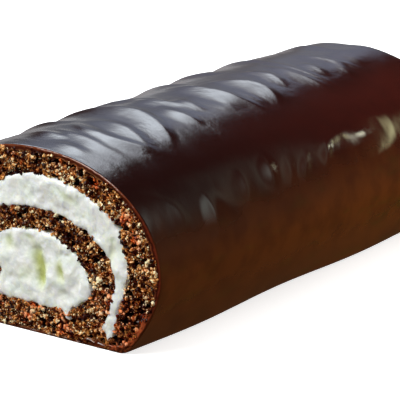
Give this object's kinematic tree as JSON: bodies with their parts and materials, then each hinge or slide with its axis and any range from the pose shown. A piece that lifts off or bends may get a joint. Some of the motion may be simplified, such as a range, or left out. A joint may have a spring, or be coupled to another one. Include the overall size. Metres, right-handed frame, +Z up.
{
  "type": "swiss roll cake",
  "caption": "Small chocolate sponge roll filled with cream, closed in a rippled chocolate coating and cut straight across at one end.",
  "frame": {"origin": "middle of the flat underside", "axes": "+Y along the roll from the cut face to the closed end, +X to the right seen from the cut face, +Z up"},
  "size_m": [0.043, 0.0829, 0.0277],
  "materials": {
    "chocolate": "glossy dark chocolate coating",
    "sponge": "open matte crumb of chocolate sponge",
    "cream": "moist, lumpy white cream filling"
  },
  "bodies": {
    "root": {"coating": "chocolate", "cake": "sponge", "cream": "cream"}
  },
  "joints": []
}
